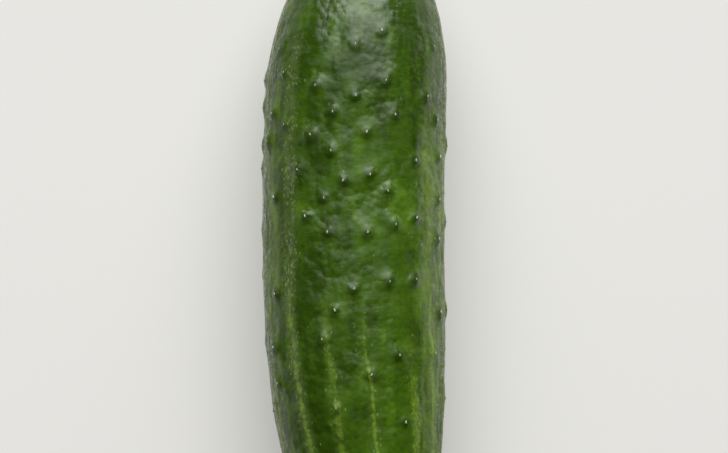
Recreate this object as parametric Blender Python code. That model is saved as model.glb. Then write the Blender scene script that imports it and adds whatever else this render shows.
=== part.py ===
"""A short warty salad cucumber, picked with a stub of its stem and lying on its belly.

Metres, +Z up. The fruit lies along Y, its stem end towards +Y, and rests on a small flat spot at Z = 0.
The origin is the bottom centre of the whole cucumber's box.
A place on the skin is given by its reach, the distance from the stem end along the fruit, and by its
turn, the angle round the fruit from the crown (+Z) towards +X.
"""

import math
import random

import bmesh
import bpy
from mathutils import Vector

# Fruit
LENGTH = 0.156
WIDTH = 0.0440
STEM_DOME = 0.0395  # how far each end narrows
BLOSSOM_DOME = 0.0775
STEM_POWERS = (2.0, 2.3)  # along and across; 2 is an ellipse, more is blunter
BLOSSOM_POWERS = (2.3, 2.6)
BOW = 0.0039  # lean towards +X of a point half the length away from BOW_MIDDLE
BOW_MIDDLE = 0.068
FLAT_DEPTH = 0.00035  # what the surface presses off the belly

# Four rounded corners from the seed chambers, and a shallow rib between each two pale stripes
CORNERS = 4
CORNER_TURN = math.radians(43)
CORNER_SHARE = 0.020
RIBS = 12
RIB_TURN = math.radians(-5)
RIB_SHARE = 0.0042
ROUND_BELOW = 0.005  # the ends are round out to this radius
RIBBED_ABOVE = 0.013

# Hollow that the stem grows from, and the scar that the flower leaves
BASIN_FLOOR = 0.0040
BASIN_RIM = 0.0085
BASIN_DEPTH = 0.0018
SCAR_RADIUS = 0.0026
SCAR_PROUD = 0.0005
DIMPLE_RADIUS = 0.0085
DIMPLE_DEPTH = 0.0010

# Warts, in rows along the fruit that grow sparser towards the blossom end
WART_RADIUS = 0.0026
WART_HEIGHT = 0.00076
SPINE_HEIGHT = 0.00008
WART_RINGS = ((0.86, 0.09), (0.56, 0.47), (0.27, 0.87))  # shares of the wart's radius and height
WART_SIZES = (0.85, 1.15)
WARTS_SHRINK = (0.085, 0.125)  # reach where the warts begin to be smaller, and where they are smallest
LAST_WARTS_LESS = 0.22
WART_ROOM = 0.0052  # no two warts stand closer
CROWN_WARTS = (  # degrees of turn where the skin is as far aside as the tip, reach in millimetres
    (17, 23.0), (-2, 26.1), (65, 26.6), (-69, 27.2), (-56, 32.8), (20, 34.7), (-28, 35.9), (0, 38.3),
    (53, 38.5), (-15, 42.1), (-69, 42.5), (27, 42.8), (67, 44.1), (-52, 45.1), (8, 47.0), (-30, 47.5),
    (-76, 49.0), (-15.5, 51.3), (76, 52.9), (44, 53.7), (29, 53.7), (57, 53.7), (-39, 55.8), (11, 57.0),
    (-7, 58.4), (23, 60.8), (-63, 62.4), (-20, 62.5), (75, 63.0), (59, 63.9), (-33, 66.8), (45, 67.2),
    (28.5, 68.7), (-17.5, 70.6), (9.6, 70.6), (73, 72.2), (44, 81.7), (24, 82.2), (0, 83.9),
    (-63, 85.2), (-13, 89.1), (77, 89.6), (-23, 95.8), (-69, 97.9), (64, 99.1), (30, 99.6),
    (45, 100.5), (10, 104.3), (-68, 106.4), (-51, 106.4), (-16, 112.1), (34, 115.5), (12, 124.0),
    (-34, 127.0), (-8, 129.0), (42, 130.0),
)
TIP_OUT = 1.08  # a tip's distance from the fruit's middle, as a share of the skin's
EDGE_WARTS = (  # degrees of turn, reach in millimetres
    (-88, 34.5), (-88, 41.0), (-86, 50.0), (88, 50.0), (-90, 55.5), (87, 68.0), (-87, 70.0), (89, 89.0),
    (-88, 97.0), (87, 110.0), (-87, 113.0),
)
OTHER_ROWS = (104, 118, 132, 146, 214, 228, 242, 256)  # degrees of turn
OTHER_FIRST = (0.027, 0.044)  # least and most reach of a row's first wart
OTHER_LAST = 0.130
FIRST_PITCH = 0.0115  # between two warts of a row, at PITCH_REACH
PITCH_REACH = 0.040
PITCH_GROWTH = 0.10
TURN_JITTER = math.radians(2.5)
REACH_JITTER = 0.0008
SEED = 7

# Stem stub: a five-ridged stalk, cut across
STUB_LENGTH = 0.0105
STUB_STATIONS = (  # share of its length, radius
    (0.00, 0.0033), (0.06, 0.0036), (0.20, 0.0032), (0.50, 0.0027), (0.85, 0.0027), (1.00, 0.0028),
)
STUB_RIDGES = 5
STUB_RIDGE_SHARE = 0.10
STUB_SIDES = 30
STUB_LEAN = 0.0012
STUB_CUT_SLOPE = math.tan(math.radians(12))
STUB_RIM = 0.0007
STUB_PITH_DEPTH = 0.0004
GAP = 0.0003

# Mesh fineness
SIDES = 48
END_RING_STEP = 0.0015
BELLY_RING_STEP = 0.0032
FINE = 900  # points that each stretch of the outline is measured by
PATCH_PULL = 0.7  # how far the skin round a wart is drawn along to centre on it
RING_INSIDE = 0.8  # a wart's ring stays this far inside the one around it
WELD = 1e-6
ON_CUT = 1e-4


def smooth_step(low, high, value):
    share = min(max((value - low) / (high - low), 0.0), 1.0)
    return share * share * (3 - 2 * share)


def radius_at(reach):
    """Half of the fruit's width, leaving out its corners, ribs and warts."""
    if reach < STEM_DOME:
        out, (along, across) = (STEM_DOME - reach) / STEM_DOME, STEM_POWERS
    else:
        out, (along, across) = max(reach - LENGTH + BLOSSOM_DOME, 0.0) / BLOSSOM_DOME, BLOSSOM_POWERS
    return WIDTH / 2 * max(1 - out**along, 0.0) ** (1 / across)


def dome(length, powers):
    """(distance from its end, radius) of finely spaced points on an end, from its middle outwards."""
    along, across = powers
    for i in range(FINE):
        angle = math.pi / 2 * i / FINE
        yield length * (1 - math.cos(angle) ** (2 / along)), WIDTH / 2 * math.sin(angle) ** (2 / across)


def fine_outline():
    """(reach, radius) of finely spaced points from the stem's hollow to the flower's scar."""
    points = []
    for inward, radius in dome(STEM_DOME, STEM_POWERS):
        hollow = 1 - smooth_step(BASIN_FLOOR, BASIN_RIM, radius)
        points.append((inward + (BASIN_DEPTH - inward) * hollow, radius))
    belly = LENGTH - STEM_DOME - BLOSSOM_DOME
    points += [(STEM_DOME + belly * i / FINE, WIDTH / 2) for i in range(FINE + 1)]
    for inward, radius in reversed(list(dome(BLOSSOM_DOME, BLOSSOM_POWERS))):
        dimple = DIMPLE_DEPTH * (1 - smooth_step(SCAR_RADIUS, DIMPLE_RADIUS, radius))
        scar = SCAR_PROUD * (1 - smooth_step(SCAR_RADIUS * 0.7, SCAR_RADIUS * 1.3, radius))
        points.append((LENGTH - inward - dimple + scar, radius))
    return points


def outline():
    """(reach, radius) of each ring, close together at the ends and further apart along the belly."""
    points = fine_outline()
    rings = [points[0]]
    run = 0.0
    for before, after in zip(points, points[1:]):
        run += math.dist(before, after)
        ends = 1 - smooth_step(BASIN_RIM, WIDTH / 2, after[1])
        if run >= BELLY_RING_STEP + (END_RING_STEP - BELLY_RING_STEP) * ends:
            rings.append(after)
            run = 0.0
    return rings[:-1] + [points[-1]]


def lean_at(reach):
    """How far the bowed fruit's middle is towards +X."""
    return BOW * ((reach - BOW_MIDDLE) / (LENGTH / 2)) ** 2


def skin_point(reach, radius, turn):
    """Where the skin is: a turned shape given its corners, ribs and bow. The stem end is at the origin."""
    ribbed = smooth_step(ROUND_BELOW, RIBBED_ABOVE, radius)
    corners = CORNER_SHARE * math.cos(CORNERS * (turn - CORNER_TURN))
    ribs = RIB_SHARE * math.cos(RIBS * (turn - RIB_TURN))
    grown = radius * (1 + ribbed * (corners + ribs))
    return Vector((lean_at(reach) + grown * math.sin(turn), -reach, grown * math.cos(turn)))


def on_skin(point):
    """The skin's own point at the reach and turn of a point near it."""
    reach = -point.y
    return skin_point(reach, radius_at(reach), math.atan2(point.x - lean_at(reach), point.z))


def skin_frame(reach, turn):
    """A skin point and the direction straight out of the skin there."""
    step = 1e-4
    here = skin_point(reach, radius_at(reach), turn)
    along = skin_point(reach + step, radius_at(reach + step), turn) - here
    around = skin_point(reach, radius_at(reach), turn + step) - here
    return here, along.cross(around).normalized()


def turned_body():
    """The outline spun round the Y axis and moved to the skin's places."""
    bm = bmesh.new()
    wire = [bm.verts.new((0, -reach, radius)) for reach, radius in outline()]
    edges = [bm.edges.new(pair) for pair in zip(wire, wire[1:])]
    bmesh.ops.spin(
        bm, geom=wire + edges, cent=(0, 0, 0), axis=(0, 1, 0), dvec=(0, 0, 0),
        angle=2 * math.pi, steps=SIDES, use_merge=True,
    )
    bmesh.ops.remove_doubles(bm, verts=bm.verts, dist=WELD)
    for vert in bm.verts:
        radius = math.hypot(vert.co.x, vert.co.z)
        vert.co = skin_point(-vert.co.y, radius, math.atan2(vert.co.x, vert.co.z))
    bmesh.ops.recalc_face_normals(bm, faces=bm.faces)
    return bm


def wart_places(draw):
    """(reach, turn) of each wart that has room: the edges', the crown's, and rows along the rest."""
    wanted = [(reach / 1000, math.radians(turn)) for turn, reach in EDGE_WARTS]
    for turn, reach in CROWN_WARTS:
        wanted.append((reach / 1000, math.asin(math.sin(math.radians(turn)) / TIP_OUT)))
    for row in OTHER_ROWS:
        reach = draw.uniform(*OTHER_FIRST)
        while reach < OTHER_LAST:
            turn = math.radians(row) + draw.uniform(-TURN_JITTER, TURN_JITTER)
            wanted.append((reach + draw.uniform(-REACH_JITTER, REACH_JITTER), turn))
            reach += FIRST_PITCH + PITCH_GROWTH * (reach - PITCH_REACH)
    places = []
    spots = []
    for reach, turn in wanted:
        spot = skin_point(reach, radius_at(reach), turn)
        if all((spot - other).length > WART_ROOM for other in spots):
            places.append((reach, turn))
            spots.append(spot)
    return places


def grow_wart(bm, free, reach, turn, size):
    """Turns the four faces round the nearest free vertex, if one is near, into a mound with a raised tip."""
    centre, out = skin_frame(reach, turn)
    root = min(free, key=lambda vert: (vert.co - centre).length)
    shift = centre - root.co
    if shift.length > WART_RADIUS:
        return
    patch = {vert for face in root.link_faces for vert in face.verts}
    for vert in patch.intersection(free):
        vert.co = on_skin(vert.co + shift * PATCH_PULL)
    free[:] = [vert for vert in free if vert not in patch]
    mound = bmesh.utils.face_join(list(root.link_faces))
    for radius_share, height_share in WART_RINGS:
        bmesh.ops.inset_individual(bm, faces=[mound], thickness=WART_RADIUS / 4)
        ring = set(mound.verts)
        for vert in ring:
            outer = next(end for edge in vert.link_edges for end in edge.verts if end not in ring)
            offset = outer.co - centre
            offset -= out * offset.dot(out)
            radius = min(radius_share * WART_RADIUS * size, RING_INSIDE * offset.length)
            spot = on_skin(centre + offset.normalized() * radius)
            vert.co = spot + out * height_share * WART_HEIGHT * size
    tip = bmesh.ops.poke(bm, faces=[mound])["verts"][0]
    tip.co = centre + out * (WART_HEIGHT * size + SPINE_HEIGHT)


def press_belly(bm):
    """Cuts the flat spot that the fruit rests on, and returns its height."""
    floor = min(vert.co.z for vert in bm.verts) + FLAT_DEPTH
    cut = bmesh.ops.bisect_plane(
        bm, geom=bm.verts[:] + bm.edges[:] + bm.faces[:], dist=ON_CUT,
        plane_co=(0, 0, floor), plane_no=(0, 0, -1), clear_outer=True,
    )
    edges = [item for item in cut["geom_cut"] if isinstance(item, bmesh.types.BMEdge)]
    for edge in edges:
        for vert in edge.verts:
            vert.co.z = floor
    bmesh.ops.contextual_create(bm, geom=edges)
    return floor


def green_skin():
    return material("green_skin", colour=(0.045, 0.098, 0.014), roughness=0.36)


def cut_stalk():
    return material("cut_stalk", colour=(0.16, 0.17, 0.055), roughness=0.62)


def material(name, colour, roughness):
    made = bpy.data.materials.new(name)
    made.use_nodes = True
    shader = made.node_tree.nodes["Principled BSDF"]
    shader.inputs["Base Color"].default_value = (*colour, 1.0)
    shader.inputs["Roughness"].default_value = roughness
    shader.inputs["Metallic"].default_value = 0.0
    return made


def new_object(name, bm, finish, parent):
    mesh = bpy.data.meshes.new(name)
    bmesh.ops.recalc_face_normals(bm, faces=bm.faces)
    bm.to_mesh(mesh)
    bm.free()
    mesh.shade_smooth()
    mesh.set_sharp_from_angle(angle=math.radians(50))
    mesh.materials.append(finish)
    made = bpy.data.objects.new(name, mesh)
    bpy.context.scene.collection.objects.link(made)
    made.parent = parent
    return made


def make_fruit(parent):
    """The fruit, with its stem end at its own origin, set down on its flat spot."""
    draw = random.Random(SEED)
    bm = turned_body()
    free = list(bm.verts)
    for reach, turn in wart_places(draw):
        grown = 1 - LAST_WARTS_LESS * smooth_step(*WARTS_SHRINK, reach)
        grow_wart(bm, free, reach, turn, grown * draw.uniform(*WART_SIZES))
    floor = press_belly(bm)
    fruit = new_object("fruit", bm, green_skin(), parent)
    fruit.location.z = -floor
    return fruit


def make_stem_stub(fruit, parent):
    """The stalk, with its foot at its own origin, set face to face with the floor of the fruit's hollow."""
    bm = bmesh.new()
    rings = []
    for share, radius in STUB_STATIONS:
        rings.append([])
        for side in range(STUB_SIDES):
            angle = 2 * math.pi * side / STUB_SIDES
            ridged = radius * (1 + STUB_RIDGE_SHARE * math.cos(STUB_RIDGES * angle))
            across, up = ridged * math.sin(angle), ridged * math.cos(angle)
            grown = STUB_LENGTH * share + STUB_CUT_SLOPE * across * share
            rings[-1].append(bm.verts.new((across + STUB_LEAN * share**2, grown, up)))
    for ring, following in zip(rings, rings[1:]):
        for side in range(STUB_SIDES):
            beside = (side + 1) % STUB_SIDES
            bm.faces.new((ring[side], ring[beside], following[beside], following[side]))
    bm.faces.new(rings[0])
    cut_face = bm.faces.new(rings[-1])
    bmesh.ops.recalc_face_normals(bm, faces=bm.faces)
    bmesh.ops.inset_individual(bm, faces=[cut_face], thickness=STUB_RIM, use_even_offset=True)
    bmesh.ops.translate(bm, verts=cut_face.verts, vec=(0, -STUB_PITH_DEPTH, 0))
    stub = new_object("stem_stub", bm, cut_stalk(), parent)
    middle = skin_point(0.0, 0.0, 0.0)
    stub.location = fruit.location + Vector((middle.x, GAP - BASIN_DEPTH, middle.z))
    return stub


def centre_on_origin(objects):
    """Moves the pieces together, so that the origin is the bottom centre of their box."""
    bpy.context.view_layer.update()
    corners = [obj.matrix_world @ vert.co for obj in objects for vert in obj.data.vertices]
    for axis in (0, 1):
        values = [corner[axis] for corner in corners]
        for obj in objects:
            obj.location[axis] -= (min(values) + max(values)) / 2


def main():
    for obj in list(bpy.data.objects):
        bpy.data.objects.remove(obj)
    cucumber = bpy.data.objects.new("cucumber", None)
    bpy.context.scene.collection.objects.link(cucumber)
    fruit = make_fruit(cucumber)
    stub = make_stem_stub(fruit, cucumber)
    centre_on_origin((fruit, stub))


main()
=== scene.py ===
"""Looks of a short warty salad cucumber: its waxy skin, pale spines, flower scar and cut stem stub.

Metres, +Z up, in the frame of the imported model. The fruit lies along Y, its stem end towards +Y.
A place on the skin is given by its reach, the distance from the stem end along the fruit, and by its
turn, the angle round the fruit from the crown (+Z) towards +X.
"""

import math
import random

import bmesh
import bpy
from bpy.props import FloatProperty, FloatVectorProperty, PointerProperty
from mathutils import Matrix, Vector
from mathutils.kdtree import KDTree


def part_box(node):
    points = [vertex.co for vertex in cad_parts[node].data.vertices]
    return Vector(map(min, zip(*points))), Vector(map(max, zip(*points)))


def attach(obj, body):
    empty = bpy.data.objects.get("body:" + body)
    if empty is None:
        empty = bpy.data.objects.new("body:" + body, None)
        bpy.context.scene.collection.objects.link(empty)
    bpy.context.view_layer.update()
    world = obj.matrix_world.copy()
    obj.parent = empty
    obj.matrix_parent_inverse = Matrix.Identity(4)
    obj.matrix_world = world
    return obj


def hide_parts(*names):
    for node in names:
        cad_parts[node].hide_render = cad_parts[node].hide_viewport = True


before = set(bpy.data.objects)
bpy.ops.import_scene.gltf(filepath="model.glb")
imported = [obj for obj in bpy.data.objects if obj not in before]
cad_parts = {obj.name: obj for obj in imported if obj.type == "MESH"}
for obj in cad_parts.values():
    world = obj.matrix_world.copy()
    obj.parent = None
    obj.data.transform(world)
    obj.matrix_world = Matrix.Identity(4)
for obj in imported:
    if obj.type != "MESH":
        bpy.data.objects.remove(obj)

bl_info = {
    "name": "Salad Cucumber",
    "version": (1, 0, 0),
    "blender": (4, 5, 0),
    "location": "3D View > Sidebar > Cucumber",
    "description": "Dresses the packed cucumber: skin, spines, flower scar, stem stub and stage",
    "category": "Object",
}

# The fruit as it was built
STEM_END = Vector((-0.0002058, 0.0729387, 0.0212605))  # where its middle line starts, but for the bow
LENGTH = 0.156
RADIUS = 0.0217
BOW = 0.0039  # the line goes this far towards +X half a length from where it is straight
BOW_MIDDLE = 0.068  # the reach where it is straight

# The skin's mesh
MERGE = 1e-6  # corners this near to each other are one
FLAT_PAIR = math.radians(14)  # triangles this nearly level are paired into one face
PAIR_SHAPE = math.radians(60)
TIP_SIDES = 8  # triangles that meet at a wart's tip
TIP_SIDE = 0.0011  # their sides from the tip are shorter than this
TIP_EVEN = 1.5  # and the longest is less than this many times the shortest
SMOOTH_LEVELS = 2
LUMP_SIZE = 0.0046
RIDGE_SIZE = 0.020  # in the second map, as a share of the girth
COMBED = 0.12  # how far the second map is squeezed along the fruit

# How far each effect spreads from a wart's tip
WART_TOP = 0.0010
WART_SPREAD = 0.0016
FOOT_SPREAD = 0.0026
HALO_SPREAD = 0.0032
LEVEL_SPREAD = WART_SPREAD * 0.7  # no lumps and ridges

LOW_WARTS = (0.022, 0.038)  # the reach up to which the warts are lowest, and where they are full
SIDE_WARTS = (math.radians(65), math.radians(85))  # the turns between which they get lower again
SCAR_RADIUS = 0.0030
SCAR_FULL = 0.75  # share of that radius up to which the scar is full
NEAR_STEM = 0.0095
NEAR_STEM_FULL = 0.3  # share of that distance up to which the stem end's tint is full

# The spines
AT_TIP = 0.99999  # the wart mask is this high at the tips alone
SPINE_SIDES = 8
SPINE_RINGS = ((0.35, 0.85), (0.75, 0.62))  # share of the height, and width there against the foot's
SPINE_TOP = 0.30  # width of the blunt top against the foot's
SPINE_SUNK = 0.55  # share of its radius that a spine is sunk into the wart
SPINE_BACK = 0.4  # share of its height that its foot is set back from the wart's tip
SPINE_SWAY = 0.5  # it points up to this much aside, for 1 towards the stem end
SPINE_LIFT = (0.10, 0.30)  # and rises this much from the skin, for 1 along it
SPINE_SIZES = (0.75, 1.2)

# The stem stub
RIM_BEVEL = 0.00018
CUT_FROM = 0.0016  # the cut face's look begins this far below the stub's end
CUT_FULL = 0.0009  # and is full here
CUT_ASIDE = 0.0006  # the cut face's middle, from the middle of the stub's box towards +X
CUT_RADIUS = 0.0028
CUT_EDGE = (CUT_RADIUS * 0.55, CUT_RADIUS * 0.95)  # the face dries brown between these radii
STALK_LUMP_SIZE = 0.0012
BUNDLE_HEIGHT = 0.00012

# Pale stripes: turn in degrees, reach in millimetres where it starts, strength, half width in
# millimetres, and how thick the flecks lie along it
STRIPES = (
    (-158, 96, 0.60, 0.50, 0.20), (-128, 102, 0.70, 0.40, 0.35), (-99, 90, 0.55, 0.60, 0.20),
    (-72, 104, 0.40, 0.35, 0.30), (-43.3, 74, 1.00, 0.70, 1.00), (-18.7, 80, 0.65, 1.00, 0.22),
    (5.5, 82, 0.95, 0.50, 0.30), (36, 90, 0.95, 1.35, 0.15), (53.5, 76, 2.40, 0.50, 0.60),
    (84, 96, 0.60, 0.45, 0.20), (112, 88, 0.75, 0.50, 0.40), (143, 100, 0.60, 0.45, 0.20),
    (172, 92, 0.70, 0.55, 0.30),
)
SWERVE = math.radians(6)  # the stripes turn this much between the two reaches
SWERVE_FROM = 0.090
SWERVE_TO = 0.126
START_MM = 200  # the stripes' ramp holds their starts and half widths as shares of these
WIDTH_MM = 2
WAVER = 0.018  # share of the girth that the stripes waver over
RAGGED = 3.2  # how far the grain eats into their edges, in half widths
GLOW_WIDTH = 0.0026
ROW_WIDTHS = (0.0030, 0.0006)  # from a stripe's middle, where its flecks begin and are thickest

# Reaches between which a look of the skin grows
GREENS_VARY = (0.030, 0.060)
# painted highlight on the crown, lighter under the sheen near the stem end:
CROWN_PAINTED_SHEEN = (0.034, 0.018)
DARK_STEM_END = (0.050, 0.030)
DARK_BODY = (0.060, 0.090)
FLANKS_GROW = (0.020, 0.095)
FLECKS_BEGIN = (0.020, 0.034)
STRIPE_RISE = (0.0, 0.024)  # from where the stripe starts
WAX_DULLS = (0.075, 0.122)
RIPENS = (LENGTH * 0.85, LENGTH)

# Shares of the girth between which a look grows: the first two from the crown, the third from the belly
# the first is the width of the crown's painted highlight
CROWN_SIDES = (0.072, 0.045)
DULL_CROWN = (0.125, 0.10)
DULL_SIDE = (0.60, 0.66)

# How strong the skin's looks are
RIPE = 0.30  # share of the stripes' colour at the blossom end
STEM_PALE = 0.30  # and round the stem
DULLED = 0.6  # share of the gloss that is lost near the blossom end
BLOOM = 0.16  # range of roughness that the wax's bloom has
SCAR_ROUGHNESS = 0.8
WAX_IOR = 1.46
WARP = 0.0016  # how far the dents are pushed about
CHIPS = 0.45  # height of the small chips against the dents

# How light the green is, by turn in degrees
PALENESS = (
    (-180, 0.45), (-120, 0.50), (-90, 0.40), (-57, 0.56), (-44, 0.42), (-28, 0.36), (-8, 0.58),
    (8, 0.66), (22, 0.90), (34, 0.60), (46, 0.84), (57, 0.76), (90, 0.60), (135, 0.42), (180, 0.45),
)

# How pale and olive the flanks are, by turn in degrees: partly their own colour and partly painted light,
# for the light the flanks get from the floor
FLANKS = (
    (-180, 0.40), (-120, 0.60), (-90, 0.98), (-70, 0.65), (-57, 0.40), (-49, 0.08), (-42, 0.0), (36, 0.0),
    (46, 0.20), (60, 0.40), (70, 0.90), (90, 1.0), (130, 0.50), (180, 0.40),
)
FLANK_TINT_AND_LIGHT = (2.50, 1.85, 1.60)  # times the green

# How glossy the wax is, by turn in degrees
GLOSS = (
    (-180, 0.24), (-90, 0.30), (-82, 0.27), (-75, 0.16), (-69, 0.11), (-63, 0.22), (-58, 0.42),
    (-54, 0.40), (-50, 0.28), (-44, 0.24), (-40, 0.5), (40, 0.5), (43, 0.85), (47, 0.85), (50, 0.45),
    (58, 0.52), (63, 0.29), (69, 0.13), (76, 0.14), (82, 0.25), (90, 0.28), (180, 0.24),
)

# The light: degrees from straight up towards +Y, and how bright it is there
WALL_OF_LIGHT = (
    (-90, 0.0), (-15, 0.0), (-7, 0.006), (0, 0.05), (13, 0.21), (34, 0.80), (46, 1.0),
    (65, 1.0), (78, 0.6), (90, 0.4),
)
WALL_INNER = math.radians(16)  # how far aside it starts to fade, and where it is gone
WALL_OUTER = math.radians(41)
WALL_ASIDE = math.radians(2)  # its middle is this much towards +X

# The camera looks straight down, with the photo's frame
FRAME_WIDTH_PX = 728
FRAME_CENTRE = Vector((0.0023, 0.0037, 0.0213))
METRES_PER_PX = 0.0002376
SENSOR_MM = 36.0

# The floor
FLOOR_SIZE = 14.0
# Painted shade on the floor, darker away from the wall of light at +Y:
FLOOR_FADE = 0.10  # it gets darker from this far beyond the fruit's middle to as far before it
FLOOR_SHADE = 0.95

SEED = 11
PLAIN = (1.0, 1.0, 1.0)
UNMOVED = (0.0, 0.0, 0.0)


class SkinSettings(bpy.types.PropertyGroup):
    """Sizes and colours of the fruit's skin."""

    lump_height: FloatProperty(
        name="Lump height", description="How far the soft lumps of the skin rise and sink",
        default=0.00030, unit="LENGTH",
    )
    foot_height: FloatProperty(
        name="Foot height", description="How far the skin rises towards each wart",
        default=0.00012, unit="LENGTH",
    )
    top_drop: FloatProperty(
        name="Top drop", description="How far the warts' tips are rounded off",
        default=0.00020, unit="LENGTH",
    )
    low_drop: FloatProperty(
        name="Low wart drop", description="How much lower the warts at the stem end and the sides are",
        default=0.00032, unit="LENGTH",
    )
    ridge_height: FloatProperty(
        name="Ridge height", description="How far the shallow ridges along the fruit rise",
        default=0.00014, unit="LENGTH",
    )
    facet_height: FloatProperty(
        name="Facet height", description="Relief of the dents that break up the sheen",
        default=0.00040, unit="LENGTH",
    )
    wrinkle_height: FloatProperty(
        name="Wrinkle height", description="Relief of the fine wrinkles across the fruit",
        default=0.00004, unit="LENGTH",
    )
    dark: FloatVectorProperty(
        name="Dark green", description="Darkest green of the skin", subtype="COLOR",
        default=(0.025, 0.058, 0.0022),
    )
    middle: FloatVectorProperty(
        name="Middle green", description="Green of most of the skin", subtype="COLOR",
        default=(0.044, 0.100, 0.0040),
    )
    light: FloatVectorProperty(
        name="Light green", description="Green of the lightest mottles", subtype="COLOR",
        default=(0.074, 0.157, 0.0070),
    )
    stripe: FloatVectorProperty(
        name="Stripe", description="Pale yellow green of the stripes", subtype="COLOR",
        default=(0.150, 0.260, 0.022),
    )
    fleck: FloatVectorProperty(
        name="Fleck", description="Colour of the fine pale flecks", subtype="COLOR",
        default=(0.210, 0.280, 0.100),
    )
    scar: FloatVectorProperty(
        name="Flower scar", description="Corky brown where the flower dropped off", subtype="COLOR",
        default=(0.200, 0.130, 0.055),
    )
    roughness: FloatProperty(
        name="Roughness", description="Roughness of the waxy skin", default=0.28, min=0.0, max=1.0,
    )


class SpineSettings(bpy.types.PropertyGroup):
    """Sizes and colour of the spine stubs on the warts."""

    height: FloatProperty(
        name="Spine height", description="Length of a spine stub", default=0.00072, unit="LENGTH",
    )
    radius: FloatProperty(
        name="Spine radius", description="Radius of a spine stub at its foot",
        default=0.00025, unit="LENGTH",
    )
    tip: FloatVectorProperty(
        name="Spine tip", description="Pale colour of the spine's tip", subtype="COLOR",
        default=(0.42, 0.50, 0.32),
    )
    foot: FloatVectorProperty(
        name="Spine foot", description="Greener colour of the spine's foot", subtype="COLOR",
        default=(0.16, 0.24, 0.09),
    )


class StubSettings(bpy.types.PropertyGroup):
    """Sizes and colours of the cut stem stub."""

    fibre_height: FloatProperty(
        name="Fibre height", description="Relief of the stalk's fibres",
        default=0.00010, unit="LENGTH",
    )
    bark: FloatVectorProperty(
        name="Stalk green", description="Green of the stalk's side", subtype="COLOR",
        default=(0.115, 0.150, 0.040),
    )
    dry: FloatVectorProperty(
        name="Dry edge", description="Brown of the dried cut edge", subtype="COLOR",
        default=(0.190, 0.140, 0.070),
    )
    pith: FloatVectorProperty(
        name="Pith", description="Pale colour of the cut face", subtype="COLOR",
        default=(0.420, 0.430, 0.230),
    )


class StageSettings(bpy.types.PropertyGroup):
    """The floor, the light and the camera."""

    floor: FloatVectorProperty(
        name="Floor", description="Colour of the plain floor", subtype="COLOR",
        default=(0.525, 0.520, 0.500),
    )
    glow: FloatProperty(
        name="Floor glow", description="How much the floor is lit through from below", default=0.50,
    )
    light: FloatProperty(
        name="Light", description="Brightness of the wall of light beyond the stem end", default=5.8,
    )
    room: FloatProperty(
        name="Room", description="Brightness of the room around", default=0.02,
    )
    backdrop: FloatVectorProperty(
        name="Backdrop", description="Colour behind the floor, for the camera alone", subtype="COLOR",
        default=(0.80, 0.79, 0.77),
    )
    lens: FloatProperty(
        name="Lens", description="Focal length in millimetres", default=600.0,
    )


def deselect():
    for obj in bpy.context.selected_objects:
        obj.select_set(False)


def make_active(obj):
    deselect()
    obj.select_set(True)
    bpy.context.view_layer.objects.active = obj


def apply_modifier(obj, kind, **settings):
    make_active(obj)
    bpy.ops.object.modifier_add(type=kind)
    modifier = obj.modifiers[-1]
    for name, value in settings.items():
        setattr(modifier, name, value)
    bpy.ops.object.modifier_apply(modifier=modifier.name)


def select_corners(obj, wanted):
    """Selects, in edit mode, the corners at the places that a test wants."""
    bpy.ops.mesh.select_all(action="DESELECT")
    bpy.ops.object.mode_set(mode="OBJECT")
    for vert in obj.data.vertices:
        vert.select = wanted(vert.co)
    bpy.ops.object.mode_set(mode="EDIT")


def merged_copy(node, name):
    """A copy of a CAD node with its loose triangles merged."""
    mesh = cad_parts[node].data.copy()
    mesh.name = name
    mesh.materials.clear()
    made = bpy.data.objects.new(name, mesh)
    bpy.context.scene.collection.objects.link(made)
    make_active(made)
    bpy.ops.object.mode_set(mode="EDIT")
    bpy.ops.mesh.select_all(action="SELECT")
    bpy.ops.mesh.remove_doubles(threshold=MERGE)
    bpy.ops.mesh.customdata_custom_splitnormals_clear()
    bpy.ops.mesh.mark_sharp(clear=True)
    bpy.ops.object.mode_set(mode="OBJECT")
    return made


def pair_triangles(obj, apart=()):
    """Pairs the triangles into four-sided faces, except round the corners to leave apart."""
    apart = set(apart)
    make_active(obj)
    bpy.ops.object.mode_set(mode="EDIT")
    bpy.ops.mesh.select_mode(type="FACE")
    bpy.ops.mesh.select_all(action="DESELECT")
    bpy.ops.object.mode_set(mode="OBJECT")
    for polygon in obj.data.polygons:
        polygon.select = apart.isdisjoint(polygon.vertices)
    bpy.ops.object.mode_set(mode="EDIT")
    bpy.ops.mesh.tris_convert_to_quads(face_threshold=FLAT_PAIR, shape_threshold=PAIR_SHAPE)
    bpy.ops.mesh.select_mode(type="VERT")
    bpy.ops.object.mode_set(mode="OBJECT")


def wart_tips(mesh):
    """Indices of the corners amid a ring of short triangles whose sides are alike."""
    bm = bmesh.new()
    bm.from_mesh(mesh)
    tips = []
    for vert in bm.verts:
        sides = sorted(edge.calc_length() for edge in vert.link_edges)
        if len(sides) == TIP_SIDES and sides[-1] < min(TIP_SIDE, TIP_EVEN * sides[0]):
            tips.append(vert.index)
    bm.free()
    return tips


def reach_and_turn(point):
    """(reach in metres, turn in radians) of a point near the skin."""
    reach = STEM_END.y - point.y
    lean = BOW * ((reach - BOW_MIDDLE) / (LENGTH / 2)) ** 2
    return reach, math.atan2(point.x - STEM_END.x - lean, point.z - STEM_END.z)


def unwrap_skin(mesh, name, squeeze=1.0):
    """A UV map of the turn across, from the belly line at 0 to the same line at 1, and the reach up."""
    layer = mesh.uv_layers.new(name=name)
    places = [reach_and_turn(vert.co) for vert in mesh.vertices]
    for polygon in mesh.polygons:
        middle = reach_and_turn(polygon.center)[1]
        for loop in polygon.loop_indices:
            reach, turn = places[mesh.loops[loop].vertex_index]
            turn += 2 * math.pi * round((middle - turn) / (2 * math.pi))
            layer.uv[loop].vector = (turn / (2 * math.pi) + 0.5, squeeze * reach / LENGTH)


def clouds(name, size, depth):
    texture = bpy.data.textures.new(name, "CLOUDS")
    texture.noise_scale = size
    texture.noise_depth = depth
    return texture


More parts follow.
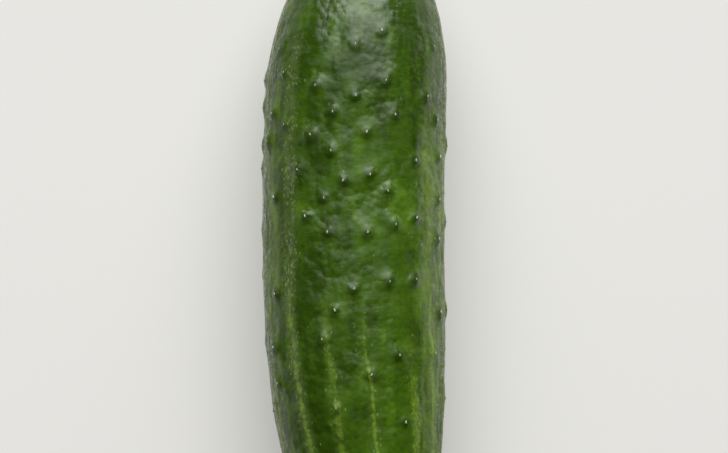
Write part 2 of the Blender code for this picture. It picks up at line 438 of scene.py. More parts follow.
def add_mask(mesh, name, value_at):
    layer = mesh.attributes.new(name, "FLOAT", "POINT")
    layer.data.foreach_set("value", [value_at(vert.co) for vert in mesh.vertices])


def add_weights(obj, name, weight_at):
    group = obj.vertex_groups.new(name=name)
    for vert in obj.data.vertices:
        group.add([vert.index], weight_at(vert.co), "REPLACE")


def smooth_step(low, high, value):
    share = min(max((value - low) / (high - low), 0.0), 1.0)
    return share * share * (3 - 2 * share)


def bell(distance, spread):
    return math.exp(-((distance / spread) ** 2))


def low_share(point):
    """1 for the warts next to the stem end and for the ones at the sides, and 0 elsewhere."""
    reach, turn = reach_and_turn(point)
    return max(1 - smooth_step(*LOW_WARTS, reach), smooth_step(*SIDE_WARTS, abs(turn)))


def flatten_belly(obj):
    """Presses whatever hangs below the floor back onto it."""
    make_active(obj)
    bpy.ops.object.mode_set(mode="EDIT")
    select_corners(obj, lambda co: co.z < 0)
    bpy.ops.transform.resize(value=(1, 1, 0), center_override=(0, 0, 0))
    bpy.ops.object.mode_set(mode="OBJECT")


# Nodes


def new_material(name):
    made = bpy.data.materials.new(name)
    made.use_nodes = True
    return made, made.node_tree, made.node_tree.nodes["Principled BSDF"]


def feed(tree, node, inputs):
    """Links the sockets among the inputs to a node, and sets its other inputs to their plain values."""
    for key, value in inputs.items():
        if isinstance(value, bpy.types.NodeSocket):
            tree.links.new(value, node.inputs[key])
        else:
            node.inputs[key].default_value = value


def add_node(tree, kind, inputs, **settings):
    """A node with its settings. Its inputs are plain values or other nodes' sockets."""
    made = tree.nodes.new(kind)
    for name, value in settings.items():
        setattr(made, name, value)
    feed(tree, made, inputs)
    return made


def calc(tree, operation, *values):
    made = add_node(tree, "ShaderNodeMath", dict(enumerate(values)), operation=operation)
    return made.outputs[0]


def product(tree, first, *others):
    for other in others:
        first = calc(tree, "MULTIPLY", first, other)
    return first


def ease(tree, value, low, high, start=0.0, end=1.0):
    """Eases from start to end while the value goes from low to high."""
    made = add_node(
        tree, "ShaderNodeMapRange",
        {"Value": value, "From Min": low, "From Max": high, "To Min": start, "To Max": end},
        interpolation_type="SMOOTHSTEP",
    )
    return made.outputs["Result"]


def blend(tree, share, first, second):
    made = add_node(tree, "ShaderNodeMix", {0: share, 6: first, 7: second}, data_type="RGBA")
    return made.outputs[2]


def mask_of(tree, name):
    return add_node(tree, "ShaderNodeAttribute", {}, attribute_name=name).outputs["Fac"]


def object_place(tree):
    return add_node(tree, "ShaderNodeTexCoord", {}).outputs["Object"]


def opaque(colour):
    return (*colour, 1.0)


def colour_ramp(tree, value, stops, interpolation="LINEAR"):
    """A ramp with stops of (place from 0 to 1, four values)."""
    made = add_node(tree, "ShaderNodeValToRGB", {"Fac": value})
    made.color_ramp.interpolation = interpolation
    elements = made.color_ramp.elements
    elements.remove(elements[1])
    elements[0].position, elements[0].color = stops[0]
    for place, values in stops[1:]:
        elements.new(place).color = values
    return made


def plain_stops(stops):
    """Stops of (place, value) in the form that a ramp takes."""
    return [(place, (value, value, value, 1.0)) for place, value in stops]


def by_turn(tree, across, stops, interpolation):
    """Four values round the fruit, with stops of (turn in degrees, those values)."""
    stops = [(turn / 360 + 0.5, values) for turn, values in sorted(stops)]
    made = colour_ramp(tree, across, stops, interpolation)
    parts = add_node(tree, "ShaderNodeSeparateColor", {"Color": made.outputs["Color"]})
    return [parts.outputs[name] for name in ("Red", "Green", "Blue")] + [made.outputs["Alpha"]]


def value_by_turn(tree, across, stops, interpolation):
    """One value round the fruit, with stops of (turn in degrees, value)."""
    return by_turn(tree, across, plain_stops(stops), interpolation)[0]


def from_crown(tree, across):
    """Distance from the crown line on either side, as a share of the girth."""
    return calc(tree, "ABSOLUTE", calc(tree, "SUBTRACT", across, 0.5))


# Shared effects


def new_group(name, inputs, outputs):
    """An empty node group with its sockets, and the sockets to link inside it."""
    group = bpy.data.node_groups.new(name, "ShaderNodeTree")
    for label, kind, default in inputs:
        socket = group.interface.new_socket(name=label, in_out="INPUT", socket_type=kind)
        if default is not None:
            socket.default_value = default
    for label, kind in outputs:
        group.interface.new_socket(name=label, in_out="OUTPUT", socket_type=kind)
    given = group.nodes.new("NodeGroupInput").outputs
    wanted = group.nodes.new("NodeGroupOutput").inputs
    return group, given, wanted


def mottle_group():
    """Noise from 0 to 1, of which the coordinates can be stretched and shifted first."""
    group, given, wanted = new_group(
        "mottle",
        (
            ("Vector", "NodeSocketVector", None), ("Stretch", "NodeSocketVector", PLAIN),
            ("Shift", "NodeSocketVector", UNMOVED), ("Scale", "NodeSocketFloat", 100.0),
            ("Detail", "NodeSocketFloat", 2.0), ("Roughness", "NodeSocketFloat", 0.5),
            ("Distortion", "NodeSocketFloat", 0.0),
        ),
        (("Fac", "NodeSocketFloat"),),
    )
    moved = add_node(
        group, "ShaderNodeMapping",
        {"Vector": given["Vector"], "Scale": given["Stretch"], "Location": given["Shift"]},
    )
    noise = add_node(
        group, "ShaderNodeTexNoise",
        {
            "Vector": moved.outputs["Vector"], "Scale": given["Scale"], "Detail": given["Detail"],
            "Roughness": given["Roughness"], "Distortion": given["Distortion"],
        },
    )
    group.links.new(noise.outputs["Fac"], wanted["Fac"])
    return group


def two_tone_group():
    """One colour easing into another while a value goes from low to high."""
    group, given, wanted = new_group(
        "two_tone",
        (
            ("Value", "NodeSocketFloat", 0.5), ("Low", "NodeSocketFloat", 0.0),
            ("High", "NodeSocketFloat", 1.0), ("First", "NodeSocketColor", None),
            ("Second", "NodeSocketColor", None),
        ),
        (("Color", "NodeSocketColor"),),
    )
    share = ease(group, given["Value"], given["Low"], given["High"])
    group.links.new(blend(group, share, given["First"], given["Second"]), wanted["Color"])
    return group


def relief_group():
    """The normal of a surface raised by a height in metres, with a fine grain of its own."""
    group, given, wanted = new_group(
        "relief",
        (
            ("Height", "NodeSocketFloat", 0.0), ("Vector", "NodeSocketVector", None),
            ("Grain Scale", "NodeSocketFloat", 2600.0), ("Grain Height", "NodeSocketFloat", 0.000005),
        ),
        (("Normal", "NodeSocketVector"),),
    )
    grain = add_node(
        group, "ShaderNodeTexNoise",
        {"Vector": given["Vector"], "Scale": given["Grain Scale"], "Detail": 2.0, "Roughness": 0.6},
    )
    height = calc(group, "MULTIPLY_ADD", grain.outputs["Fac"], given["Grain Height"], given["Height"])
    bump = add_node(group, "ShaderNodeBump", {"Height": height, "Strength": 1.0, "Distance": 1.0})
    group.links.new(bump.outputs["Normal"], wanted["Normal"])
    return group


SHARED = {"mottle": mottle_group, "two_tone": two_tone_group, "relief": relief_group}


def shared(tree, name, **inputs):
    """A node of a shared effect, which is made once. Keys are socket names with _ for a space."""
    group = bpy.data.node_groups.get(name) or SHARED[name]()
    made = tree.nodes.new("ShaderNodeGroup")
    made.node_tree = group
    feed(tree, made, {key.replace("_", " "): value for key, value in inputs.items()})
    return made.outputs[0]


# Materials


def skin_material(settings):
    made, tree, shader = new_material("waxy_green_skin")
    place = object_place(tree)
    unrolled = add_node(tree, "ShaderNodeUVMap", {}, uv_map="unrolled").outputs["UV"]
    split = add_node(tree, "ShaderNodeSeparateXYZ", {"Vector": unrolled})
    across, reach = split.outputs["X"], calc(tree, "MULTIPLY", split.outputs["Y"], LENGTH)
    wart, halo, scar, stem = (mask_of(tree, name) for name in ("wart", "halo", "scar", "stem"))

    green = mottled_green(tree, settings, place, unrolled, across, reach, wart, halo)
    green = flank_tinted_and_lit(tree, green, unrolled, across, reach, wart)
    stripe = nearest_stripe(tree, unrolled, across, reach)
    green = striped(tree, settings, green, place, *stripe[:4])
    green = flecked(tree, settings, green, place, reach, stripe)
    ripe = calc(tree, "MULTIPLY", ease(tree, reach, *RIPENS), RIPE)
    green = blend(tree, ripe, green, opaque(settings.stripe))
    green = blend(tree, calc(tree, "MULTIPLY", stem, STEM_PALE), green, opaque(settings.stripe))
    cork = shared(tree, "mottle", Vector=place, Scale=1200.0, Detail=3.0, Roughness=0.6)
    cork = calc(tree, "MULTIPLY", scar, ease(tree, cork, 0.30, 0.55, 0.55, 1.0))
    green = blend(tree, cork, green, opaque(settings.scar))
    tree.links.new(green, shader.inputs["Base Color"])

    height = skin_relief(tree, settings, place, unrolled)
    normal = shared(tree, "relief", Height=height, Vector=place, Grain_Scale=3000.0)
    tree.links.new(normal, shader.inputs["Normal"])
    tree.links.new(wax_roughness(tree, settings, place, halo, scar), shader.inputs["Roughness"])
    tree.links.new(wax_gloss(tree, across, reach), shader.inputs["Specular IOR Level"])
    shader.inputs["IOR"].default_value = WAX_IOR
    return made


def mottled_green(tree, settings, place, unrolled, across, reach, wart, halo):
    """Greens by turn and reach, mottles and streaks along the fruit, painted shade at and round each wart
    in a paler ring that is partly a painted highlight, and a painted highlight on the crown near the stem
    end.
    """
    pale = calc(tree, "SUBTRACT", value_by_turn(tree, across, PALENESS, "EASE"), 0.5)
    pale = calc(tree, "MULTIPLY", pale, ease(tree, reach, *GREENS_VARY))
    broad = shared(
        tree, "mottle", Vector=place, Stretch=(1, 0.5, 1), Scale=210.0, Detail=3.0, Distortion=0.5,
    )
    small = shared(
        tree, "mottle", Vector=place, Stretch=(1, 0.7, 1), Scale=760.0, Detail=3.0, Roughness=0.6,
    )
    streak = shared(tree, "mottle", Vector=unrolled, Stretch=(1, 0.07, 1), Scale=60.0, Detail=1.2)
    # Painted highlight: the crown near the stem end is lightened under the sheen there.
    crown = ease(tree, from_crown(tree, across), *CROWN_SIDES)
    crown = calc(tree, "MULTIPLY", crown, ease(tree, reach, *CROWN_PAINTED_SHEEN))
    tone = calc(tree, "MULTIPLY_ADD", broad, 0.9, calc(tree, "MULTIPLY", small, 0.35))
    # Painted shade: the wart mask darkens the green at and round each wart's tip, for the shade on its
    # lower slope. The halo is partly a painted highlight, a paler ring where the sheen lies beside the
    # warts.
    for look, lighter in (
        (streak, 0.30), (pale, 0.55), (wart, -0.28), (crown, 0.15),
        (ease(tree, reach, *DARK_STEM_END), -0.15), (ease(tree, reach, *DARK_BODY), -0.06),
        (halo, 0.16),
    ):
        tone = calc(tree, "MULTIPLY_ADD", look, lighter, tone)
    green = shared(
        tree, "two_tone", Value=tone, Low=0.62, High=0.88,
        First=opaque(settings.dark), Second=opaque(settings.middle),
    )
    return shared(
        tree, "two_tone", Value=tone, Low=0.86, High=1.16, First=green, Second=opaque(settings.light),
    )


def flank_tinted_and_lit(tree, green, unrolled, across, reach, wart):
    """Paler olive flanks, partly their own colour and partly painted light from the floor, in streaks
    that are painted reflections of the floor. They grow towards the blossom end and spare the warts,
    which stay darker as painted shade.
    """
    # Painted reflection: these streaks stand in for the floor's reflection on the flanks, broken up along
    # the fruit.
    reflection_streaks = shared(
        tree, "mottle", Vector=unrolled, Stretch=(1, 0.16, 1), Scale=56.0, Detail=1.5, Roughness=0.5,
    )
    flank = product(
        tree, value_by_turn(tree, across, FLANKS, "LINEAR"), ease(tree, reflection_streaks, 0.39, 0.61, 0.10, 1.85),
        ease(tree, reach, *FLANKS_GROW, 0.55, 1.0), calc(tree, "SUBTRACT", 1.0, wart),
    )
    made = add_node(
        tree, "ShaderNodeMix", {0: flank, 6: green, 7: opaque(FLANK_TINT_AND_LIGHT)}, data_type="RGBA",
        blend_type="MULTIPLY",
    )
    return made.outputs[2]


def nearest_stripe(tree, unrolled, across, reach):
    """Metres off the nearest stripe's middle, how far it has risen, strength, half width and flecks."""
    middles = [stripe[0] for stripe in STRIPES]
    lines = []
    rows = []
    for index, (turn, start, strength, width, flecks) in enumerate(STRIPES):
        before = middles[index - 1] - (360 if index == 0 else 0)
        side = (before + turn) / 2
        lines.append((side, (turn / 360 + 0.5, start / START_MM, strength, width / WIDTH_MM)))
        rows.append((side, flecks))
    lines.append((-180, (middles[-1] / 360 - 0.5, *lines[-1][1][1:])))
    rows.append((-180, rows[-1][1]))
    middle, start, strength, width = by_turn(tree, across, lines, "CONSTANT")
    flecks = value_by_turn(tree, across, rows, "CONSTANT")

    waver = shared(tree, "mottle", Vector=unrolled, Scale=14.0)
    swerve = ease(tree, reach, SWERVE_FROM, SWERVE_TO, 0.0, SWERVE / (2 * math.pi))
    middle = calc(tree, "ADD", middle, swerve)
    middle = calc(tree, "MULTIPLY_ADD", calc(tree, "SUBTRACT", waver, 0.5), WAVER, middle)
    off = calc(tree, "ABSOLUTE", calc(tree, "SUBTRACT", across, middle))
    off = calc(tree, "MULTIPLY", off, 2 * math.pi * RADIUS)
    grown = calc(tree, "SUBTRACT", reach, calc(tree, "MULTIPLY", start, START_MM / 1000))
    width = calc(tree, "MULTIPLY", width, WIDTH_MM / 1000)
    return off, ease(tree, grown, *STRIPE_RISE), strength, width, flecks


def striped(tree, settings, green, place, off, risen, strength, width):
    """Pale stripes that rise from the blossom end and break up on the way, in a faint glow."""
    ragged = shared(
        tree, "mottle", Vector=place, Stretch=(1, 0.6, 1), Scale=1300.0, Detail=3.0, Roughness=0.65,
    )
    gaps = shared(tree, "mottle", Vector=place, Shift=(0.1, 0.4, 0.0), Scale=230.0, Detail=2.0)
    grains = shared(
        tree, "mottle", Vector=place, Shift=(0.3, 0.0, 0.2), Stretch=(1, 0.55, 1), Scale=2600.0,
        Detail=2.0, Roughness=0.6,
    )
    core = calc(tree, "MULTIPLY", ragged, RAGGED)
    core = calc(tree, "SUBTRACT", core, calc(tree, "DIVIDE", off, width))
    core = calc(tree, "SUBTRACT", core, ease(tree, gaps, 0.48, 0.66, 0.0, 0.9))
    there = calc(tree, "MULTIPLY", risen, strength)
    line = calc(tree, "MULTIPLY", ease(tree, core, 0.20, 1.30), ease(tree, grains, 0.36, 0.60, 0.25, 1.0))
    glow = calc(tree, "MULTIPLY", ease(tree, off, GLOW_WIDTH, 0.0), there)
    green = blend(tree, calc(tree, "MULTIPLY", glow, 0.14), green, opaque(settings.stripe))
    return blend(tree, calc(tree, "MULTIPLY", line, there), green, opaque(settings.stripe))


def flecked(tree, settings, green, place, reach, stripe):
    """Rows of fine pale flecks along the stripes, the thickest running on above, and a few elsewhere."""
    off, risen, _, _, flecks = stripe
    always = calc(tree, "MULTIPLY", ease(tree, flecks, 0.30, 0.50), ease(tree, reach, *FLECKS_BEGIN))
    row = product(tree, ease(tree, off, *ROW_WIDTHS), flecks, calc(tree, "MAXIMUM", risen, always))
    patchy = shared(tree, "mottle", Vector=place, Scale=110.0)
    few = calc(tree, "MULTIPLY_ADD", row, 0.75, 0.004)
    few = calc(tree, "MULTIPLY", few, ease(tree, patchy, 0.36, 0.60, 0.30, 1.0))
    drawn_out = add_node(tree, "ShaderNodeMapping", {"Vector": place, "Scale": (1, 0.42, 1)})
    cells = add_node(
        tree, "ShaderNodeTexVoronoi", {"Vector": drawn_out.outputs["Vector"], "Scale": 2400.0},
    )
    chance = add_node(tree, "ShaderNodeSeparateColor", {"Color": cells.outputs["Color"]}).outputs["Red"]
    chosen = calc(tree, "LESS_THAN", chance, few)
    dot = calc(tree, "MULTIPLY", ease(tree, cells.outputs["Distance"], 0.50, 0.22), chosen)
    green = blend(tree, calc(tree, "MULTIPLY", row, 0.16), green, opaque(settings.fleck))
    return blend(tree, calc(tree, "MULTIPLY", dot, 0.7), green, opaque(settings.fleck))


def skin_relief(tree, settings, place, unrolled):
    """Height in metres: dents with creases between, wrinkles across, and ridges along the fruit."""
    warp = add_node(tree, "ShaderNodeTexNoise", {"Vector": place, "Scale": 260.0, "Detail": 2.0})
    bent = add_node(
        tree, "ShaderNodeVectorMath", {0: warp.outputs["Color"], 1: (WARP, WARP, WARP), 2: place},
        operation="MULTIPLY_ADD",
    ).outputs["Vector"]
    facets = smooth_cells(tree, bent, 270.0, 0.45)
    facets = calc(tree, "MULTIPLY_ADD", smooth_cells(tree, place, 640.0, 0.25), CHIPS, facets)
    patchy = shared(tree, "mottle", Vector=place, Shift=(0.5, 0.2, 0.0), Scale=130.0)
    facets = calc(tree, "MULTIPLY", facets, ease(tree, patchy, 0.35, 0.65, -0.35, -1.0))
    wrinkles = shared(
        tree, "mottle", Vector=place, Stretch=(0.5, 1, 0.5), Scale=820.0, Distortion=0.6,
    )
    ridges = shared(tree, "mottle", Vector=unrolled, Stretch=(1, 0.10, 1), Scale=42.0)
    height = calc(tree, "MULTIPLY", facets, settings.facet_height)
    height = calc(tree, "MULTIPLY_ADD", wrinkles, settings.wrinkle_height, height)
    return calc(tree, "MULTIPLY_ADD", ridges, settings.ridge_height, height)


def smooth_cells(tree, vector, scale, smoothness):
    made = add_node(
        tree, "ShaderNodeTexVoronoi", {"Vector": vector, "Scale": scale, "Smoothness": smoothness},
        feature="SMOOTH_F1",
    )
    return made.outputs["Distance"]


def wax_roughness(tree, settings, place, halo, scar):
    """Bloom and fine scuffs of the wax, which is duller round the warts and dry on the flower's scar."""
    bloom = shared(tree, "mottle", Vector=place, Scale=420.0, Detail=3.0, Roughness=0.6)
    scuffs = shared(
        tree, "mottle", Vector=place, Stretch=(0.45, 1, 0.45), Scale=900.0, Detail=3.0, Roughness=0.65,
        Distortion=0.8,
    )
    wax = calc(tree, "MULTIPLY_ADD", bloom, BLOOM, settings.roughness - BLOOM / 2)
    wax = calc(tree, "ADD", wax, ease(tree, scuffs, 0.38, 0.60, 0.14, -0.10))
    wax = calc(tree, "MULTIPLY_ADD", halo, 0.14, wax)
    return calc(tree, "MAXIMUM", wax, calc(tree, "MULTIPLY", scar, SCAR_ROUGHNESS))


def wax_gloss(tree, across, reach):
    """Gloss of the wax by turn. Its crown and its side towards +X are duller near the blossom end."""
    gloss = value_by_turn(tree, across, GLOSS, "EASE")
    crown = ease(tree, from_crown(tree, across), *DULL_CROWN, 0.0, DULLED)
    dull = calc(tree, "ADD", crown, ease(tree, across, *DULL_SIDE, 0.0, DULLED))
    dull = calc(tree, "MULTIPLY", ease(tree, reach, *WAX_DULLS), dull)
    return calc(tree, "MULTIPLY", gloss, calc(tree, "SUBTRACT", 1.0, dull))


def spine_material(settings):
    made, tree, shader = new_material("pale_spine")
    up = mask_of(tree, "up")
    place = object_place(tree)
    patch = shared(tree, "mottle", Vector=place, Scale=4000.0)
    share = calc(tree, "MULTIPLY_ADD", patch, 0.5, up)
    colour = shared(
        tree, "two_tone", Value=share, Low=0.35, High=0.95,
        First=opaque(settings.foot), Second=opaque(settings.tip),
    )
    tree.links.new(colour, shader.inputs["Base Color"])
    normal = shared(tree, "relief", Vector=place, Grain_Scale=9000.0, Grain_Height=0.00001)
    tree.links.new(normal, shader.inputs["Normal"])
    tree.links.new(calc(tree, "MULTIPLY_ADD", patch, 0.2, 0.3), shader.inputs["Roughness"])
    return made


def stalk_material(settings, middle):
    """Fibrous green on the side, a dried brown edge, and a pale cut face round its middle."""
    made, tree, shader = new_material("cut_stalk_fibre")
    place = object_place(tree)
    fibres = shared(tree, "mottle", Vector=place, Stretch=(1, 0.08, 1), Scale=2600.0, Detail=3.0)
    blotch = shared(tree, "mottle", Vector=place, Scale=420.0, Detail=3.0, Roughness=0.6)
    bark = shared(
        tree, "two_tone", Value=fibres, Low=0.35, High=0.65,
        First=opaque(settings.bark), Second=opaque(settings.dry),
    )
    bark = shared(
        tree, "two_tone", Value=blotch, Low=0.45, High=0.70, First=bark, Second=opaque(settings.bark),
    )
    centred = add_node(
        tree, "ShaderNodeVectorMath", {0: place, 1: middle}, operation="SUBTRACT",
    ).outputs["Vector"]
    flat = add_node(
        tree, "ShaderNodeVectorMath", {0: centred, 1: (1, 0, 1)}, operation="MULTIPLY",
    ).outputs["Vector"]
    radius = add_node(tree, "ShaderNodeVectorMath", {0: flat}, operation="LENGTH").outputs["Value"]
    cells = add_node(tree, "ShaderNodeTexVoronoi", {"Vector": flat, "Scale": 1500.0})
    bundles = cells.outputs["Distance"]
    face = shared(
        tree, "two_tone", Value=bundles, Low=0.25, High=0.45,
        First=opaque(settings.dry), Second=opaque(settings.pith),
    )
    face = shared(
        tree, "two_tone", Value=radius, Low=CUT_EDGE[0], High=CUT_EDGE[1],
        First=face, Second=opaque(settings.dry),
    )
    tree.links.new(blend(tree, mask_of(tree, "cut"), bark, face), shader.inputs["Base Color"])
    height = calc(tree, "MULTIPLY", fibres, settings.fibre_height * 1.5)
    height = calc(tree, "MULTIPLY_ADD", bundles, BUNDLE_HEIGHT, height)
    normal = shared(tree, "relief", Height=height, Vector=place, Grain_Scale=5000.0)
    tree.links.new(normal, shader.inputs["Normal"])
    tree.links.new(calc(tree, "MULTIPLY_ADD", blotch, 0.3, 0.5), shader.inputs["Roughness"])
    return made


def floor_material(settings):
    """A pale floor, with painted shade that makes it a little darker on the near side away from the wall
    of light, and lit slightly through from below.
    """
    made, tree, shader = new_material("pale_floor")
    place = object_place(tree)
    along = add_node(tree, "ShaderNodeSeparateXYZ", {"Vector": place}).outputs["Y"]
    cloud = shared(tree, "mottle", Vector=place, Scale=3.0)
    # Painted shade: the floor darkens away from the wall of light at +Y.
    shade = tuple(FLOOR_SHADE * value for value in settings.floor)
    colour = shared(
        tree, "two_tone", Value=calc(tree, "MULTIPLY_ADD", cloud, 0.02, along),
        Low=FLOOR_FADE, High=-FLOOR_FADE, First=opaque(settings.floor), Second=opaque(shade),
    )
    tree.links.new(colour, shader.inputs["Base Color"])
    tree.links.new(colour, shader.inputs["Emission Color"])
    shader.inputs["Emission Strength"].default_value = settings.glow
    normal = shared(tree, "relief", Vector=place, Grain_Scale=900.0, Grain_Height=0.00001)
    tree.links.new(normal, shader.inputs["Normal"])
    shader.inputs["Roughness"].default_value = 0.85
    shader.inputs["Specular IOR Level"].default_value = 0.2
    return made


# Operators


class OBJECT_OT_cucumber_skin(bpy.types.Operator):
    """Copy the fruit, smooth it, give it lumps and ridges, and paint its waxy green skin"""

    bl_idname = "object.cucumber_skin"
    bl_label = "Skin"

    def execute(self, context):
        settings = context.scene.cucumber_skin
        skin = merged_copy("fruit", "skin")
        tips = wart_tips(skin.data)
        if not tips:
            raise RuntimeError("the fruit has no wart tips")
        pair_triangles(skin, tips)
        apply_modifier(skin, "SUBSURF", levels=SMOOTH_LEVELS, render_levels=SMOOTH_LEVELS)
        unwrap_skin(skin.data, "unrolled")
        unwrap_skin(skin.data, "combed", COMBED)
        self.mark(skin, tips)
        for strength, weights in (
            (settings.foot_height, "near_warts"), (-settings.top_drop, "wart_tops"),
            (-settings.low_drop, "low_warts"),
        ):
            apply_modifier(skin, "DISPLACE", strength=strength, mid_level=0.0, vertex_group=weights)
        apply_modifier(
            skin, "DISPLACE", texture=clouds("soft_lumps", LUMP_SIZE, 1), texture_coords="LOCAL",
            strength=settings.lump_height, mid_level=0.5, vertex_group="between_warts",
        )
        apply_modifier(
            skin, "DISPLACE", texture=clouds("ridges", RIDGE_SIZE, 1), texture_coords="UV",
            uv_layer="combed", strength=settings.ridge_height, mid_level=0.5,
            vertex_group="between_warts",
        )
        flatten_belly(skin)
        skin.vertex_groups.clear()
        skin.data.uv_layers.remove(skin.data.uv_layers["combed"])
        make_active(skin)
        bpy.ops.object.shade_smooth()
        skin.data.materials.append(skin_material(settings))
        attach(skin, "root")
        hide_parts("fruit")
        return {"FINISHED"}

    def mark(self, skin, tips):
        """Masks of the warts, the flower's scar and the stem end, and weights near and between warts."""
        tree = KDTree(len(tips))
        for index, tip in enumerate(tips):
            tree.insert(skin.data.vertices[tip].co, index)
        tree.balance()
        blossom = min(skin.data.vertices, key=lambda vert: vert.co.y).co.copy()
        foot = Vector((STEM_END.x + BOW * (BOW_MIDDLE / (LENGTH / 2)) ** 2, STEM_END.y, STEM_END.z))

        def by_wart(co, spread):
            return bell(tree.find(co)[2], spread)

        for name, value_at in (
            ("wart", lambda co: by_wart(co, WART_SPREAD)),
            ("halo", lambda co: by_wart(co, HALO_SPREAD) - by_wart(co, WART_SPREAD)),
            ("scar", lambda co: 1 - smooth_step(SCAR_FULL, 1, (co - blossom).length / SCAR_RADIUS)),
            ("stem", lambda co: 1 - smooth_step(NEAR_STEM_FULL, 1, (co - foot).length / NEAR_STEM)),
        ):
            add_mask(skin.data, name, value_at)
        for name, weight_at in (
            ("near_warts", lambda co: by_wart(co, FOOT_SPREAD)),
            ("wart_tops", lambda co: by_wart(co, WART_TOP)),
            ("low_warts", lambda co: by_wart(co, WART_SPREAD) * low_share(co)),
            ("between_warts", lambda co: 1 - by_wart(co, LEVEL_SPREAD)),
        ):
            add_weights(skin, name, weight_at)


class OBJECT_OT_cucumber_spines(bpy.types.Operator):
    """Model one spine stub and lay a copy of it on the tip of every wart"""

    bl_idname = "object.cucumber_spines"
    bl_label = "Spines"

    def execute(self, context):
        settings = context.scene.cucumber_spines
        skin = bpy.data.objects["skin"].data
        draw = random.Random(SEED)
        spine = self.model_spine(settings)
        marks = skin.attributes["wart"].data
        copies = []
        for vert in skin.vertices:
            if marks[vert.index].value < AT_TIP:
                continue
            along = Vector((draw.uniform(-SPINE_SWAY, SPINE_SWAY), 1.0, 0.0))
            along = (along - vert.normal * along.dot(vert.normal)).normalized()
            lean = vert.normal * draw.uniform(*SPINE_LIFT) + along
            size = draw.uniform(*SPINE_SIZES)
            turned = lean.to_track_quat("Z", "Y").to_matrix().to_4x4()
            copy = spine.copy()
            copy.data = spine.data.copy()
            foot = vert.co - along * settings.height * SPINE_BACK
            foot -= vert.normal * settings.radius * SPINE_SUNK
            copy.data.transform(Matrix.Translation(foot) @ turned @ Matrix.Scale(size, 4))
            context.scene.collection.objects.link(copy)
            copies.append(copy)
        bpy.data.objects.remove(spine)
        deselect()
        for copy in copies:
            copy.select_set(True)
        context.view_layer.objects.active = copies[0]
        bpy.ops.object.join()
        spines = context.view_layer.objects.active
        spines.name = "spines"
        make_active(spines)
        bpy.ops.object.shade_smooth()
        spines.data.materials.append(spine_material(settings))
        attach(spines, "root")
        return {"FINISHED"}

    def model_spine(self, settings):
        """A blunt cone with its foot at the origin, pointing up."""
        deselect()
        bpy.ops.mesh.primitive_cylinder_add(
            vertices=SPINE_SIDES, radius=settings.radius, depth=settings.height, end_fill_type="NGON",
            location=(0, 0, settings.height / 2),
        )
        spine = bpy.context.view_layer.objects.active
        bpy.ops.object.transform_apply(location=True, rotation=True, scale=True)
        bpy.ops.object.mode_set(mode="EDIT")
        for share, width in SPINE_RINGS:
            bpy.ops.mesh.select_all(action="SELECT")
            bpy.ops.mesh.bisect(
                plane_co=(0, 0, settings.height * share), plane_no=(0, 0, 1), xstart=0,
            )
            self.narrow(spine, settings.height * share, width)
        self.narrow(spine, settings.height, SPINE_TOP)
        bpy.ops.object.mode_set(mode="OBJECT")
        add_mask(spine.data, "up", lambda co: co.z / settings.height)
        return spine

    def narrow(self, spine, height, width):
        """Draws the ring at a height in towards the middle."""
        select_corners(spine, lambda co: abs(co.z - height) < MERGE)
        bpy.ops.transform.resize(value=(width, width, 1), center_override=(0, 0, height))


class OBJECT_OT_cucumber_stub(bpy.types.Operator):
    """Copy the stem stub, round its edges and give it fibres and a dried cut face"""

    bl_idname = "object.cucumber_stub"
    bl_label = "Stem stub"

    def execute(self, context):
        settings = context.scene.cucumber_stub
        stub = merged_copy("stem_stub", "stalk")
        pair_triangles(stub)
        apply_modifier(stub, "BEVEL", width=RIM_BEVEL, segments=2, limit_method="ANGLE")
        apply_modifier(stub, "SUBSURF", levels=SMOOTH_LEVELS, render_levels=SMOOTH_LEVELS)
        low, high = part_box("stem_stub")
        middle = (low + high) / 2
        end = Vector((middle.x + CUT_ASIDE, high.y, middle.z))
        add_mask(stub.data, "cut", lambda co: smooth_step(high.y - CUT_FROM, high.y - CUT_FULL, co.y))
        apply_modifier(
            stub, "DISPLACE", texture=clouds("stalk_lumps", STALK_LUMP_SIZE, 2), texture_coords="LOCAL",
            strength=settings.fibre_height * 2, mid_level=0.5,
        )
        make_active(stub)
        bpy.ops.object.shade_smooth()
        stub.data.materials.append(stalk_material(settings, end))
        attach(stub, "root")
        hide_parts("stem_stub")
        return {"FINISHED"}


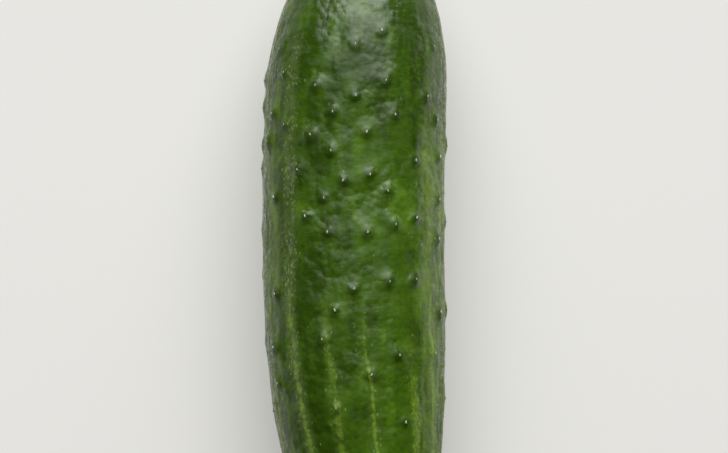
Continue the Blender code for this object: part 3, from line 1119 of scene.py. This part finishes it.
class OBJECT_OT_cucumber_stage(bpy.types.Operator):
    """Lay the pale floor, set up the soft light and put the camera above"""

    bl_idname = "object.cucumber_stage"
    bl_label = "Stage"

    def execute(self, context):
        settings = context.scene.cucumber_stage
        deselect()
        bpy.ops.mesh.primitive_plane_add(size=FLOOR_SIZE, location=(0, 0, 0))
        floor = context.view_layer.objects.active
        floor.name = "floor"
        floor.data.materials.append(floor_material(settings))
        self.light_room(context.scene, settings)
        self.place_camera(context.scene, settings.lens)
        context.scene.view_settings.view_transform = "Standard"
        return {"FINISHED"}

    def light_room(self, scene, settings):
        """A dim room with one soft wall of light, and a pale backdrop for the camera alone."""
        world = bpy.data.worlds.new("room")
        world.use_nodes = True
        tree = world.node_tree
        sky = add_node(tree, "ShaderNodeTexCoord", {}).outputs["Generated"]
        split = add_node(tree, "ShaderNodeSeparateXYZ", {"Vector": sky})
        ahead = calc(tree, "ARCTAN2", split.outputs["Y"], split.outputs["Z"])
        aside = calc(tree, "SUBTRACT", calc(tree, "ARCSINE", split.outputs["X"]), WALL_ASIDE)
        stops = plain_stops((turn / 180 + 0.5, value) for turn, value in WALL_OF_LIGHT)
        rise = colour_ramp(tree, calc(tree, "MULTIPLY_ADD", ahead, 1 / math.pi, 0.5), stops)
        fade = ease(tree, calc(tree, "ABSOLUTE", aside), WALL_INNER, WALL_OUTER, 1.0, 0.0)
        wall = calc(tree, "MULTIPLY", rise.outputs["Color"], fade)
        glow = calc(tree, "MULTIPLY_ADD", wall, settings.light, settings.room)
        lit = add_node(tree, "ShaderNodeBackground", {"Color": opaque(PLAIN), "Strength": glow})
        backdrop = tree.nodes["Background"]
        feed(tree, backdrop, {"Color": opaque(settings.backdrop), "Strength": 1.0})
        path = tree.nodes.new("ShaderNodeLightPath")
        chosen = add_node(
            tree, "ShaderNodeMixShader",
            {0: path.outputs["Is Camera Ray"], 1: lit.outputs[0], 2: backdrop.outputs[0]},
        )
        tree.links.new(chosen.outputs[0], tree.nodes["World Output"].inputs["Surface"])
        scene.world = world

    def place_camera(self, scene, lens):
        lens_data = bpy.data.cameras.new("camera")
        lens_data.lens = lens
        lens_data.sensor_width = SENSOR_MM
        camera = bpy.data.objects.new("camera", lens_data)
        distance = FRAME_WIDTH_PX * METRES_PER_PX * lens / SENSOR_MM
        camera.location = FRAME_CENTRE + Vector((0, 0, distance))
        scene.collection.objects.link(camera)
        scene.camera = camera


OPERATORS = (
    OBJECT_OT_cucumber_skin,
    OBJECT_OT_cucumber_spines,
    OBJECT_OT_cucumber_stub,
    OBJECT_OT_cucumber_stage,
)


class VIEW3D_PT_cucumber(bpy.types.Panel):
    """Lists the cucumber's pieces and its stage"""

    bl_label = "Salad Cucumber"
    bl_idname = "VIEW3D_PT_cucumber"
    bl_space_type = "VIEW_3D"
    bl_region_type = "UI"
    bl_category = "Cucumber"

    def draw(self, context):
        for operator in OPERATORS:
            self.layout.operator(operator.bl_idname)


SETTINGS = {
    "cucumber_skin": SkinSettings,
    "cucumber_spines": SpineSettings,
    "cucumber_stub": StubSettings,
    "cucumber_stage": StageSettings,
}


def register():
    for name, settings in SETTINGS.items():
        bpy.utils.register_class(settings)
        setattr(bpy.types.Scene, name, PointerProperty(type=settings))
    for operator in OPERATORS:
        bpy.utils.register_class(operator)
    bpy.utils.register_class(VIEW3D_PT_cucumber)


def unregister():
    bpy.utils.unregister_class(VIEW3D_PT_cucumber)
    for operator in reversed(OPERATORS):
        bpy.utils.unregister_class(operator)
    for name, settings in reversed(SETTINGS.items()):
        delattr(bpy.types.Scene, name)
        bpy.utils.unregister_class(settings)


def main():
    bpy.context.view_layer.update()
    register()
    bpy.ops.object.cucumber_skin()
    bpy.ops.object.cucumber_spines()
    bpy.ops.object.cucumber_stub()
    bpy.ops.object.cucumber_stage()


if __name__ == "__main__":
    main()
